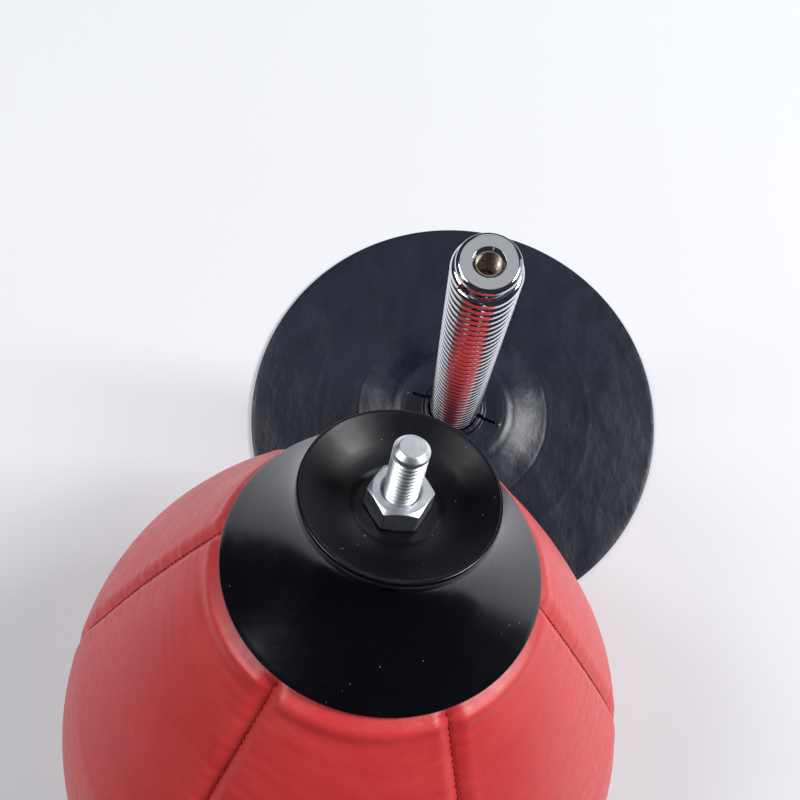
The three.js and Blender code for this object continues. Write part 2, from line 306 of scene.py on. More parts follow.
def hex_end(angle, face_z, depth_sign, phase):
    """Corners of a hexagon's chamfered end, from its flat face to its side. depth_sign is -1 for a top
    face, whose chamfer falls away below it, and 1 for a bottom face."""
    side = hex_radius(angle, phase)
    face_r = HEX_AF / 2 - 0.25
    corners = np.zeros((len(angle), 2, 3))
    corners[:, 0] = (face_r, face_z, 0.2)
    corners[:, 1, 0] = side
    corners[:, 1, 1] = face_z + depth_sign * (side - face_r + 0.05) * math.tan(math.radians(CHAMFER))
    corners[:, 1, 2] = 0.15
    return corners


# ---- materials -----------------------------------------------------------------------------------
class Look:
    """One procedural material, with short ways to add nodes. Sockets are named as Blender names them."""

    def __init__(self, name, color, **settings):
        self.material = bpy.data.materials.new(name)
        self.material.use_nodes = True
        self.tree = self.material.node_tree
        self.shader = self.tree.nodes["Principled BSDF"]
        self.material.diffuse_color = (*color, 1)
        self.set(self.shader.inputs["Base Color"], (*color, 1))
        for socket, value in settings.items():
            self.set(self.shader.inputs[socket.replace("_", " ")], value)
        self.place = self.node("TexCoord").outputs["Object"]

    def set(self, socket, value):
        if isinstance(value, bpy.types.NodeSocket):
            self.tree.links.new(value, socket)
        else:
            socket.default_value = value

    def node(self, kind, inputs=(), **settings):
        made = self.tree.nodes.new("ShaderNode" + kind)
        for key, value in settings.items():
            setattr(made, key, value)
        for key, value in dict(inputs).items():
            self.set(made.inputs[key], value)
        return made

    def noise(self, size, detail=3, roughness=0.55, stretch=(1, 1, 1), distortion=0.0):
        """Noise whose features are about size millimetres across, longer along an axis that stretch names."""
        scaled = self.node("Mapping", {"Vector": self.place, "Scale": [1 / s for s in stretch]})
        made = self.node("TexNoise", {
            "Vector": scaled.outputs["Vector"], "Scale": 1 / (size * MM), "Detail": detail,
            "Roughness": roughness, "Distortion": distortion,
        })
        return made.outputs["Fac"]

    def cells(self, size, feature="F1"):
        made = self.node("TexVoronoi", {"Vector": self.place, "Scale": 1 / (size * MM)}, feature=feature)
        return made.outputs["Distance"]

    def span(self, value, low, high, to_low, to_high):
        made = self.node("MapRange", {
            "Value": value, "From Min": low, "From Max": high, "To Min": to_low, "To Max": to_high,
        })
        return made.outputs["Result"]

    def times(self, a, b, operation="MULTIPLY"):
        return self.node("Math", {0: a, 1: b}, operation=operation).outputs[0]

    def mix(self, share, a, b):
        made = self.node("Mix", {0: share, 6: a, 7: b}, data_type="RGBA")
        return made.outputs[2]

    def bump(self, height, strength, depth, under=None):
        inputs = {"Height": height, "Strength": strength, "Distance": depth * MM}
        if under is not None:
            inputs["Normal"] = under
        return self.node("Bump", inputs).outputs["Normal"]

    def finish(self, color=None, roughness=None, normal=None):
        for socket, value in (("Base Color", color), ("Roughness", roughness), ("Normal", normal)):
            if value is not None:
                self.set(self.shader.inputs[socket], value)
        return self.material


def cup_rubber():
    """Black moulded rubber with a faint bluish bloom, handling marks and slight ripples."""
    look = Look("cup_rubber", (0.014, 0.016, 0.022), Specular_IOR_Level=0.5)
    bloom = look.noise(26, 6, 0.62, distortion=0.8)
    smear = look.noise(9, 4, 0.6, stretch=(1, 3, 1), distortion=1.2)
    grain = look.noise(0.5, 3)
    dark, light = (0.004, 0.006, 0.016, 1), (0.010, 0.014, 0.030, 1)
    color = look.mix(look.span(bloom, 0.35, 0.7, 0, 1), dark, light)
    marks = look.span(smear, 0.3, 0.72, 0, 1)
    roughness = look.span(look.times(bloom, marks, "ADD"), 0.4, 1.4, 0.30, 0.42)
    ripple = look.bump(look.noise(11, 4, 0.55, stretch=(1, 1.6, 1)), 0.55, 0.9)
    fine = look.bump(smear, 0.18, 0.25, ripple)
    return look.finish(color, roughness, look.bump(grain, 0.25, 0.03, fine))


def black_plastic(name="black_plastic", glossiest=0.15, dullest=0.27, dust=0.5, shine=0.5):
    """Black moulding with hairline scratches and specks of dust: glossy unless it is told otherwise."""
    look = Look(name, (0.003, 0.003, 0.005), Specular_IOR_Level=shine)
    haze = look.noise(14, 4, 0.6, distortion=0.6)
    scratch = look.noise(0.5, 2, 0.5, stretch=(14, 1, 1), distortion=0.4)
    scratched = look.times(look.span(scratch, 0.66, 0.74, 0, 1), look.span(haze, 0.45, 0.65, 0, 1))
    speck = look.span(look.cells(2.6), 0.055, 0.035, 0, 1)
    speck = look.times(speck, look.span(look.noise(6, 2), dust, dust + 0.06, 0, 1))
    color = look.mix(speck, (0.0025, 0.0025, 0.0050, 1), (0.34, 0.35, 0.40, 1))
    rough = look.span(haze, 0.3, 0.75, glossiest, dullest)
    rough = look.times(rough, look.span(scratched, 0, 1, 0, 0.2), "ADD")
    normal = look.bump(look.noise(7, 2), 0.12, 0.12)
    return look.finish(color, rough, look.bump(scratched, 0.2, 0.01, normal))


def chrome():
    """Bright chrome plate with faint pits and a slightly uneven polish."""
    look = Look("chrome", (0.78, 0.79, 0.83), Metallic=1.0)
    uneven = look.noise(3, 4, 0.6)
    pits = look.span(look.cells(1.1), 0.07, 0.03, 0, 1)
    pits = look.times(pits, look.span(look.noise(4, 2), 0.54, 0.6, 0, 1))
    color = look.mix(pits, (0.78, 0.79, 0.83, 1), (0.25, 0.25, 0.27, 1))
    rough = look.times(look.span(uneven, 0.3, 0.7, 0.05, 0.13), look.times(pits, 0.3), "ADD")
    return look.finish(color, rough, look.bump(uneven, 0.10, 0.03))


def bare_thread():
    """Unplated steel inside the threaded hole, slightly warm from its oil."""
    look = Look("bare_thread", (0.42, 0.35, 0.28), Metallic=1.0)
    stain = look.noise(1.5, 4, 0.6)
    color = look.mix(look.span(stain, 0.35, 0.7, 0, 1), (0.78, 0.68, 0.60, 1), (0.40, 0.31, 0.24, 1))
    return look.finish(color, look.span(stain, 0.3, 0.7, 0.22, 0.42), look.bump(stain, 0.2, 0.03))


def zinc_steel():
    """Blue-white zinc plate: soft shine, small crystals and handling marks."""
    look = Look("zinc_steel", (0.72, 0.74, 0.78), Metallic=1.0)
    crystals = look.noise(0.7, 4, 0.65)
    marks = look.noise(4, 3, 0.6, distortion=0.8)
    color = look.mix(look.span(marks, 0.35, 0.7, 0, 1), (0.88, 0.89, 0.92, 1), (0.68, 0.71, 0.76, 1))
    rough = look.span(look.times(crystals, marks, "ADD"), 0.6, 1.4, 0.28, 0.46)
    return look.finish(color, rough, look.bump(crystals, 0.22, 0.04))


def red_leather():
    """Coral red coated leather: fine pebble grain with painted shade in its valleys, soft creases and a satin
    coat.
    """
    dark, light = (0.60, 0.030, 0.036, 1), (0.74, 0.060, 0.062, 1)
    look = Look("red_leather", light[:3], Specular_IOR_Level=0.55)
    grain = look.cells(0.62, "DISTANCE_TO_EDGE")
    valley = look.span(grain, 0.0, 0.16, 0, 1)
    tone = look.noise(18, 4, 0.55, distortion=0.5)
    # lighter and darker by random tone, and painted darker in the grain's valleys as painted shade
    tone_and_valley_shade = look.times(look.span(tone, 0.3, 0.75, 0.25, 1), look.span(valley, 0, 1, 0.6, 1))
    color = look.mix(tone_and_valley_shade, dark, light)
    rough = look.span(look.times(tone, look.noise(2.5, 3), "ADD"), 0.7, 1.3, 0.34, 0.48)
    soft = look.bump(look.noise(3.2, 4, 0.6), 0.22, 0.35)
    return look.finish(color, rough, look.bump(valley, 0.20, 0.05, soft))


def bladder_rubber():
    """Dull, nearly black rubber with a brownish bloom."""
    look = Look("bladder_rubber", (0.030, 0.024, 0.021), Specular_IOR_Level=0.4)
    bloom = look.noise(12, 5, 0.6, distortion=0.6)
    dark, light = (0.020, 0.016, 0.014, 1), (0.060, 0.050, 0.044, 1)
    color = look.mix(look.span(bloom, 0.35, 0.7, 0, 1), dark, light)
    rough = look.span(bloom, 0.3, 0.7, 0.55, 0.75)
    return look.finish(color, rough, look.bump(look.noise(0.8, 3), 0.2, 0.05))


def felt():
    """Grey-brown pressed felt with long fibres."""
    look = Look("felt", (0.16, 0.14, 0.12))
    fibre = look.noise(0.5, 5, 0.75, stretch=(3, 1, 1), distortion=2)
    color = look.mix(fibre, (0.10, 0.09, 0.08, 1), (0.26, 0.24, 0.21, 1))
    return look.finish(color, look.span(fibre, 0.2, 0.8, 0.85, 1.0), look.bump(fibre, 0.7, 0.3))


def sewing_thread():
    """Twisted polyester thread."""
    look = Look("sewing_thread", (0.34, 0.020, 0.026))
    twist = look.noise(0.25, 2, stretch=(1, 2, 1))
    color = look.mix(twist, (0.22, 0.012, 0.016, 1), (0.46, 0.030, 0.036, 1))
    return look.finish(color, look.span(twist, 0.3, 0.7, 0.55, 0.75), look.bump(twist, 0.5, 0.08))


RUBBER, PLASTIC, CHROME, BARE = cup_rubber(), black_plastic(), chrome(), bare_thread()
FACE_PLASTIC = black_plastic("scuffed_plastic", glossiest=0.34, dullest=0.5, dust=0.36, shine=0.28)
ZINC, LEATHER_RED, BLADDER, FELT, THREAD = (
    zinc_steel(), red_leather(), bladder_rubber(), felt(), sewing_thread()
)


def fit(made, body, slot, *nodes):
    """The piece moves with that body and stands for those CAD nodes; slot is not used."""
    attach(made, body)
    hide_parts(*nodes)
    return made


# ---- base ----------------------------------------------------------------------------------------
def slit_angles():
    return [math.radians(SLIT_PHASE + k * 360 / SLITS) for k in range(SLITS)]


def slit_cutter(angle):
    """A wedge that narrows away from the well and ends round, for one slit through the lip and the cap."""
    near, wide, narrow = WELL_R - 1.5, 1.15, 0.6
    far = SLIT_END_R - narrow
    ends = [(far + narrow * math.sin(t), narrow * math.cos(t)) for t in np.linspace(0, math.pi, 9)]
    flat = [(near, wide), *ends, (near, -wide)]
    low, high = WEB_LOW_Z + 1.1, LIP_TOP_Z + 3
    vertices = [(x, y, z) for z in (low, high) for x, y in flat]
    count = len(flat)
    faces = [tuple(range(count)), tuple(range(count, 2 * count))]
    faces += [(i, (i + 1) % count, count + (i + 1) % count, count + i) for i in range(count)]
    return piece("slit_cutter", vertices, faces, Matrix.Rotation(angle, 4, "Z"), RUBBER)


def cut_away(made, cutters):
    """Cuts the cutters out of a piece and removes them."""
    bpy.context.view_layer.objects.active = made
    for cutter in cutters:
        step = made.modifiers.new("cut", "BOOLEAN")
        step.operation, step.solver, step.object = "DIFFERENCE", "EXACT", cutter
        bpy.ops.object.modifier_apply(modifier=step.name)
        bpy.data.objects.remove(cutter)
    made.data.shade_smooth()
    made.data.set_sharp_from_angle(angle=math.radians(SHARP))


def suction_cup():
    """Thin disc that rises to a low dome. A lip hugs the spring, and slits run out from it to small pips."""
    lip = rounded([
        (WELL_R, WELL_Z + 2, 0), (WELL_R, LIP_TOP_Z, 0.9), (LIP_OUTER_R, LIP_TOP_Z, 1.3),
        (LIP_OUTER_R + 0.5, CAP_Z, 0.9), (CAP_R - 11, CAP_Z - 0.02, 0),
    ])
    cap_r = np.arange(CAP_R - 10.6, CAP_R - 4, 0.4)
    cap = np.stack([cap_r, CAP_Z - 0.02 - 0.2 * ((cap_r - CAP_R + 11) / 7) ** 2], -1)
    slope = curved([
        (CAP_R - 4, CAP_Z - 0.25), (CAP_R - 2, CAP_Z - 0.55), (CAP_R, CAP_Z - 1.3), (CAP_R + 2, CAP_Z - 2.35),
        (30.5, 6.35), (33.5, 5.15), (37, 4.15), (41, 3.4), (45, 3.05), (50, 2.9), (60, 2.7), (74, 2.45),
        (CUP_R - 2, 2.1),
    ], 12)
    slope[:, 1] -= RING_H * np.exp(-(((slope[:, 0] - STEP_AT) / 0.7) ** 2))
    slope[:, 1] += RING_H * np.exp(-(((slope[:, 0] - RIDGE_AT) / 1.0) ** 2))
    edge_and_chamber = rounded([
        (CUP_R - 2, 2.1, 0), (CUP_R, 1.95, 0.6), (CUP_R, 0.3, 0.3), (CUP_R - 0.8, 0, 0.2),
        (86, 0, 0.8), (82, 0.7, 2), (60, 1, 8), (43, 1.3, 6), (36, 3, 5), (CAP_R, 5.2, 4),
        (18, WEB_LOW_Z, 3), (CLEAR_R, WEB_LOW_Z, 0.3), (CLEAR_R, WELL_Z, 0.3),
        (WELL_R, WELL_Z, 0.6), (WELL_R, WELL_Z + 1, 0),
    ])
    outline = per_angle(np.vstack([lip, cap, slope, edge_and_chamber[1:]]), CUP_SIDES)
    angle = around(CUP_SIDES)[:, None]
    r = outline[..., 0]
    x, y = r * np.cos(angle), r * np.sin(angle)
    on_top = np.zeros(outline.shape[1], bool)
    on_top[: len(lip) + len(cap) + len(slope)] = True
    ripple = sum(
        size * np.sin(lobes * angle + phase + r / reach) for size, lobes, phase, reach in DISC_RIPPLES
    )
    fade = np.clip((r - CAP_R - 4) / 12, 0, 1) * np.clip((CUP_R - r) / 8, 0, 1)
    pips = sum(
        np.exp(-((x - PIP_AT * math.cos(a)) ** 2 + (y - PIP_AT * math.sin(a)) ** 2) / 0.4)
        for a in slit_angles()
    )
    outline[..., 1] += np.where(on_top, ripple * fade + PIP_H * pips, 0)
    made = turned("rubber_suction_cup", outline, CUP_SIDES, BASE, RUBBER, closed=True)
    cut_away(made, [slit_cutter(angle) for angle in slit_angles()])
    return fit(made, "base", "cup_rubber", "suction_cup")


def base_washer():
    low, high = box("base_washer")
    outer = high[0]
    corners = [(CLEAR_R, low[2], 0.15), (outer, low[2], 0.3), (outer, high[2], 0.5), (CLEAR_R, high[2], 0.15)]
    made = turned("bolt_washer", rounded(corners, True), SIDES, BASE, ZINC, closed=True)
    return fit(made, "base", "zinc_steel", "base_washer")


def bolt(name, tip, head_top, head_low, thread_low, phase, place):
    """A hexagon bolt with its head below: chamfered tip, rolled thread, plain shank and chamfered head."""
    angle = around(SIDES)
    tip_part = rounded(per_angle([
        (0, tip, 0), (2.75, tip, 0.5), (SHANK_R, tip - 1.1, 0.3), (SHANK_R, tip - TIP_H, 0),
    ], SIDES))
    thread = thread_rows(angle, SHANK_R, THREAD_DEPTH, tip - TIP_H, thread_low, 0.9)
    top_edge = np.zeros((SIDES, 1, 3))
    top_edge[:, 0, 0], top_edge[:, 0, 1], top_edge[:, 0, 2] = hex_radius(angle, phase), head_top, 0.15
    shank = [(SHANK_R, thread_low, 0), (SHANK_R, head_top, 0.4), (HEX_AF / 2 - 0.3, head_top, 0)]
    head = np.concatenate([
        per_angle(shank, SIDES), top_edge, hex_end(angle, head_low, 1, phase)[:, ::-1],
        per_angle([(0, head_low, 0)], SIDES),
    ], axis=1)
    outline = np.concatenate([tip_part, thread[:, 1:], rounded(head)[:, 1:]], axis=1)
    return turned(name, outline, SIDES, place, ZINC)


def base_bolt():
    low, high = box("base_bolt")
    head_top = box("base_washer")[0][2] - GAP
    made = bolt("base_hex_bolt", high[2], head_top, low[2], head_top + BASE_BOLT_SHANK, 0, BASE)
    return fit(made, "base", "zinc_steel", "base_bolt")


def lower_spring_plug():
    low, high = box("lower_spring_plug")
    corners = [
        (CLEAR_R, low[2], 0.2), (PLUG_SHANK_R, low[2], 0.3),
        (PLUG_SHANK_R, high[2], 0.9), (CLEAR_R, high[2], 0.3),
    ]
    made = turned("spring_foot_plug", rounded(corners, True), SIDES, BASE, CHROME, closed=True)
    return fit(made, "spring_foot", "chrome", "lower_spring_plug")


def upper_spring_plug():
    """Plug that closes the spring's top, with an M8 thread right through it."""
    low, high = box("upper_spring_plug")
    top = high[2]
    minor = SHANK_R - 0.5
    outside = rounded([
        (minor + 0.5, low[2], 0.1), (PLUG_SHANK_R, low[2], 0.8), (PLUG_SHANK_R, top - 2.1, 0.3),
        (PLUG_HEAD_R, top - 2.1, 0.3), (PLUG_HEAD_R, top - 1.15, 0.35), (PLUG_HEAD_R - 0.25, top - 0.62, 0.4),
        (PLUG_HEAD_R - 1.15, top, 0.9), (minor + 1.3, top, 0.12), (minor + 0.35, top - 0.95, 0.15),
    ], True)
    thread = thread_rows(around(SIDES), minor + 0.1, -THREAD_DEPTH, top - 1.0, low[2] + 0.4, 0.5)
    outline = np.concatenate([per_angle(outside, SIDES), thread], axis=1)
    made = turned("spring_top_plug", outline, SIDES, BASE, [CHROME, BARE], closed=True)
    bore = SHANK_R + 0.4
    for face in made.data.polygons:
        middle = face.center / MM
        if math.hypot(middle.x, middle.y) < bore and middle.z < top - 0.8:
            face.material_index = 1
    return fit(made, "spring_top", "chrome", "upper_spring_plug")


# ---- spring --------------------------------------------------------------------------------------
TURN_STEPS = 64
WIRE_SIDES = 20


def wire(name, from_turn, to_turn, open_end=False):
    """A length of the coil. Its normals are set from the wire's round section, so that two lengths meet
    unseen. An open end is a little narrower at its last ring."""
    steps = round((to_turn - from_turn) * TURN_STEPS)
    turn = np.linspace(from_turn, to_turn, steps + 1)
    size = np.ones(steps + 1)
    if open_end:
        turn = np.append(turn, to_turn + 0.004)
        size = np.append(size, 0.86)
    angle = BALL_AZIMUTH + turn * 2 * math.pi
    out = np.stack([np.cos(angle), np.sin(angle), 0 * angle], -1)
    rise = PITCH / (2 * math.pi)
    along = np.stack([-COIL_R * np.sin(angle), COIL_R * np.cos(angle), rise + 0 * angle], -1)
    along /= np.linalg.norm(along, axis=1)[:, None]
    across = np.cross(along, out)
    line = out * COIL_R + np.stack([0 * turn, 0 * turn, COIL_START_Z + turn * PITCH], -1)
    side = np.arange(WIRE_SIDES) * 2 * math.pi / WIRE_SIDES
    normals = out[:, None] * np.cos(side)[None, :, None] + across[:, None] * np.sin(side)[None, :, None]
    rings = line[:, None] + WIRE_R * size[:, None, None] * normals
    count = len(turn)
    faces = []
    for k in range(count - 1):
        for i in range(WIRE_SIDES):
            n = (i + 1) % WIRE_SIDES
            a, b = k * WIRE_SIDES, (k + 1) * WIRE_SIDES
            faces.append((a + i, a + n, b + n, b + i))
    last = (count - 1) * WIRE_SIDES
    faces += [tuple(range(WIRE_SIDES))[::-1], tuple(last + i for i in range(WIRE_SIDES))]
    mesh = bpy.data.meshes.new(name)
    mesh.from_pydata((rings.reshape(-1, 3) * MM).tolist(), [], faces)
    mesh.shade_smooth()
    flat = normals.reshape(-1, 3)
    loops = []
    for face in mesh.polygons:
        if len(face.vertices) == 4:
            loops += [flat[v] for v in face.vertices]
        else:
            loops += [tuple(face.normal)] * len(face.vertices)
    mesh.normals_split_custom_set([tuple(n) for n in loops])
    mesh.materials.append(CHROME)
    made = bpy.data.objects.new(name, mesh)
    bpy.context.scene.collection.objects.link(made)
    return made


def spring():
    """The coil, in lengths that each run round one hinge and reach halfway to the next."""
    nodes = ["spring_foot_coil", *[f"spring_coil_{k}" for k in range(1, len(HINGES))]]
    half = SECTION_TURNS / 2
    last = len(HINGES) - 1
    for k, hinge in enumerate(HINGES):
        middle = FOOT_TURNS + k * SECTION_TURNS
        from_turn = 0 if k == 0 else middle - half
        to_turn = SPRING_TURNS if k == last else middle + half
        made = wire(f"spring_wire_{k + 1}", from_turn, to_turn, open_end=k == last)
        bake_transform(made)
        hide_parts(nodes[k], *(["spring_top_coil"] if k == last else []))


# ---- ball unit -----------------------------------------------------------------------------------
def cone_shell():
    """Dished face with a lip, flared side and a boss down the middle that presses on the ball's mouth."""
    seat = FACE_Z - DISH_DEPTH
    low = FACE_Z - BAND_H
    side_h = low - CONE_RIM_Z - CONE_RIM_H

    def side(inset):
        t = np.linspace(0, 1, 25)
        return np.stack([NECK_R + (CONE_RIM_R - NECK_R) * t**1.6 - inset, low - t * side_h], -1)

    across = np.linspace(BOSS_R, FACE_R, 22)
    rise = ((across - BOSS_R) / (FACE_R - BOSS_R)) ** 1.5
    dish = np.stack([across, seat + (DISH_DEPTH - 0.1) * rise], -1)
    dish[:, 1] -= 0.06 * np.exp(-(((across - DISH_RING_AT) / 0.5) ** 2))
    dish[:, 1] += 0.35 * np.clip((across - 9.6) / 0.8, 0, 1) * np.clip((14 - across) / 3.6, 0, 1)
    lip = rounded([
        (*dish[-1], 0), (FACE_R + 0.25, FACE_Z, 0.35), (LIP_R - 0.3, FACE_Z - 0.1, 0.3),
        (LIP_R, FACE_Z - 0.75, 0.4), (LIP_R, low + 0.3, 0.35), (NECK_R, low, 0.3), (*side(0)[1], 0),
    ])
    rim = rounded([
        (*side(0)[-2], 0), (CONE_RIM_R, CONE_RIM_Z + CONE_RIM_H, 0.6), (CONE_RIM_R - 0.15, CONE_RIM_Z, 0.35),
        (CONE_RIM_R - CONE_WALL, CONE_RIM_Z, 0.4), (*side(CONE_WALL)[-2], 0),
    ])
    boss_top = seat - BOSS_BELOW_SEAT
    boss_low = along_axis("ball_stud")[0] + BOSS_ABOVE_STUD_END
    inner = rounded([
        (*side(CONE_WALL)[1], 0), (NECK_R - CONE_WALL, boss_top + 3, 1), (BOSS_R + 1, boss_top, 1.5),
        (BOSS_R, boss_top - 1, 1), (BOSS_R, boss_low, 0.4), (CLEAR_R, boss_low, 0.3), (CLEAR_R, seat, 0.3),
        (BOSS_R - 1, seat, 0),
    ])
    outline = np.vstack([dish, lip[1:-1], side(0)[1:-2], rim, side(CONE_WALL)[-3:1:-1], inner])
    made = turned("flared_cone_shell", outline, CONE_SIDES, BALL, (PLASTIC, FACE_PLASTIC), closed=True)
    to_unit = BALL.inverted()
    for face in made.data.polygons:
        middle = to_unit @ (face.center / MM)
        if math.hypot(middle.x, middle.y) < FACE_R - 0.2 and middle.z > seat - 0.1:
            face.material_index = 1
    return fit(made, "ball", "black_plastic", "cone_shell")


def hex_nut():
    """Nut with both ends chamfered, inside and out."""
    low, high = along_axis("hex_nut")
    angle = around(NUT_SIDES)
    bore, bevel = CLEAR_R - 0.08, 0.55
    corners = np.concatenate([
        per_angle([(bore, high - bevel, 0.1), (bore + bevel, high, 0.15)], NUT_SIDES),
        hex_end(angle, high, -1, NUT_PHASE),
        hex_end(angle, low, 1, NUT_PHASE)[:, ::-1],
        per_angle([(bore + bevel, low, 0.15), (bore, low + bevel, 0.1)], NUT_SIDES),
    ], axis=1)
    made = turned("stud_lock_nut", rounded(corners, True), NUT_SIDES, BALL, ZINC, closed=True, sharp=28)
    return fit(made, "ball", "zinc_steel", "hex_nut")


def ball_stud():
    low, high = along_axis("ball_stud")
    made = bolt("ball_hex_stud", high, low + HEX_HEAD_H, low, FACE_Z - STUD_THREAD, STUD_PHASE, BALL)
    return fit(made, "ball", "zinc_steel", "ball_stud")


def retaining_plate():
    low, high = along_axis("retaining_plate")
    corners = [(CLEAR_R, low, 0.2), (PLATE_R, low, 0.5), (PLATE_R, high, 0.5), (CLEAR_R, high, 0.2)]
    made = turned("mouth_retaining_plate", rounded(corners, True), SIDES, BALL, ZINC, closed=True)
    return fit(made, "ball", "zinc_steel", "retaining_plate")


def head_pad():
    low, high = along_axis("head_pad")
    middle = (low + high) / 2
    corners = [(0, low, 0), (PAD_R, low, 0.9), (PAD_R + 0.3, middle, 1.2), (PAD_R, high, 0.9), (0, high, 0)]
    made = turned("bolt_head_pad", rounded(corners), SIDES, BALL, FELT)
    return fit(made, "ball", "felt", "head_pad")


def cover_outline():
    """The cover's outer outline from the valve to the mouth under the cone, in even steps of about
    ROW_STEP, with how far along it each point lies and where it passes the cone's rim."""
    polar = np.linspace(math.pi - math.asin((VALVE_R + GAP) / BALL_R), math.radians(PEAR_FROM), 160)
    ball = np.stack([BALL_R * np.sin(polar), BALL_R * np.cos(polar)], -1)
    t = np.linspace(0, 1, 60)[1:, None]
    rim = NECK_LINE[1]
    neck = ball[-1] + (rim - ball[-1]) * t + NECK_BULGE * 4 * t * (1 - t) * NECK_OUT
    top = CONE_RIM_Z + CONE_RIM_H
    under = rounded([(*rim, 0), (CONE_RIM_R - 3.2, top - 1.2, 2.5), (27, top, 4), (MOUTH_R, top, 0)])[1:]
    line = np.vstack([ball, neck, under])
    travelled = np.append(0, np.cumsum(np.linalg.norm(np.diff(line, axis=0), axis=1)))
    even = np.linspace(0, travelled[-1], round(travelled[-1] / ROW_STEP))
    line = np.stack([np.interp(even, travelled, line[:, 0]), np.interp(even, travelled, line[:, 1])], -1)
    rim_at = travelled[len(ball) + len(neck) - 1]
    return line, even, rim_at


def waves(place, table):
    """A sum of sines: each row of table is size, wavelength and phase."""
    return sum(size * np.sin(2 * math.pi * place / length + phase) for size, length, phase in table)


def bell(place, middle, width):
    """A smooth hump of height 1 round middle."""
    return np.exp(-(((place - middle) / width) ** 2))


def drift(seam, from_rim):
    """How far a hand-sewn seam strays from its even place, in radians."""
    at_rim, at_belly = SEAM_DRIFT[seam % PANELS]
    share = np.clip(from_rim / 60, 0, 1)
    fade = np.clip((170 - from_rim) / 60, 0, 1)
    return np.radians(at_rim + (at_belly - at_rim) * share) * fade


def cover_panel(index, line, travelled, rim_at):
    """One stitched panel. It swells between its seams, turns in at them, puckers beside them and creases
    across."""
    half = math.pi / PANELS
    x = np.linspace(-1, 1, PANEL_COLUMNS)
    share = 0.35 * x + 0.65 * np.sin(math.pi * x / 2)
    share /= share[-1]
    r, z = line[:, :1], line[:, 1:]
    slope = np.gradient(line, axis=0)
    slope /= np.linalg.norm(slope, axis=1)[:, None]
    out_r, out_z = slope[:, 1:], -slope[:, :1]
    edge = np.minimum(half, 0.04 / np.maximum(r, 1))
    angle = share * (half - edge)
    beside = (half - abs(angle)) * r
    run = travelled[:, None]
    from_rim = rim_at - run
    outside = np.clip(from_rim / 3 + 0.6, 0, 1)
    side = np.sign(angle)
    phase = index * 2.1
    small = waves(run + 1.1 * side, [(0.5, 3.1, phase), (0.35, 4.7, 1.3 + phase), (0.3, 7.9, 2.6 * phase)])
    long = waves(run + 2.0 * np.sin(angle * 4 + phase) + 6 * angle, [
        (0.5, 8.7, phase), (0.4, 13.9, 1.9 * phase + 1), (0.35, 22.3, 0.7 * phase + 2), (0.2, 5.9, phase + 4),
    ])
    crest = 1 - np.abs(np.clip(long, -1, 1))
    swell = SWELL * (1 - np.abs(share) ** 6)
    seam = -SEAM_DEPTH * np.exp(-((beside / 1.8) ** 1.3))
    roll = ROLL * bell(beside, 3.4, 1.6)
    pucker = PUCKER * small * np.exp(-beside / 5.5) * (1 - np.exp(-beside / 0.7))
    crease = -CREASE * crest**2 * np.clip(beside / 9, 0, 1) * (0.6 + 0.4 * np.sin(run / 17 + phase))
    along_rim = np.clip(0.5 + 0.6 * np.sin(2.2 * share + 1.4 * index + 1.2), 0, 1)
    welt = WELT * bell(from_rim, 3.6, 1.2) - BEHIND_WELT * bell(from_rim, 6.2, 1.4)
    welt = welt * along_rim * np.clip(beside / 4, 0, 1)
    pressed = -PRESSED * bell(np.maximum(from_rim, 0), 0, 1.1) + BEHIND_PRESSED * bell(from_rim, 2.6, 1.3)
    from_hollow = angle + half * (1 + 2 * index) + math.radians(SEAM_PHASE - HOLLOW_AT) + math.pi
    from_hollow = from_hollow % (2 * math.pi) - math.pi
    hollow = -HOLLOW * np.exp(-((from_hollow / 0.6) ** 2) - ((from_rim - 24) / 20) ** 2)
    lift = outside * (hollow + swell + seam + roll + pucker + crease + pressed + welt)
    turn_in = -TURN_IN * bell(beside, 0, 1.5)
    outer_r, outer_z = r + out_r * lift, z + out_z * lift
    inner_r, inner_z = r + out_r * (turn_in - LEATHER), z + out_z * (turn_in - LEATHER)
    stray = drift(index, from_rim) * (1 - share) / 2 + drift(index + 1, from_rim) * (1 + share) / 2
    angle = angle + stray + math.radians(SEAM_PHASE) + half * (1 + 2 * index)
    rows, columns = lift.shape
    ring_r = np.concatenate([outer_r, inner_r[:, ::-1]], axis=1)
    ring_z = np.concatenate([outer_z, inner_z[:, ::-1]], axis=1)
    ring_a = np.concatenate([angle, angle[:, ::-1]], axis=1)
    vertices = np.stack([ring_r * np.cos(ring_a), ring_r * np.sin(ring_a), ring_z], -1).reshape(-1, 3)
    up = np.array(BALL)[2]
    vertices -= np.outer(np.minimum(vertices @ up[:3] + up[3] - RESTS_AT, 0), up[:3])  # flat where it rests
    wide = 2 * columns
    faces = [
        (i * wide + j, i * wide + (j + 1) % wide, (i + 1) * wide + (j + 1) % wide, (i + 1) * wide + j)
        for i in range(rows - 1) for j in range(wide)
    ]
    for start in (0, (rows - 1) * wide):
        end = start + wide - 1
        faces += [(start + j, start + j + 1, end - 1 - j, end - j) for j in range(columns - 1)]
    made = piece(f"leather_panel_{index + 1}", vertices, faces, BALL, LEATHER_RED, sharp=60)
    return fit(made, "ball", "red_leather", f"cover_panel_{index + 1}")


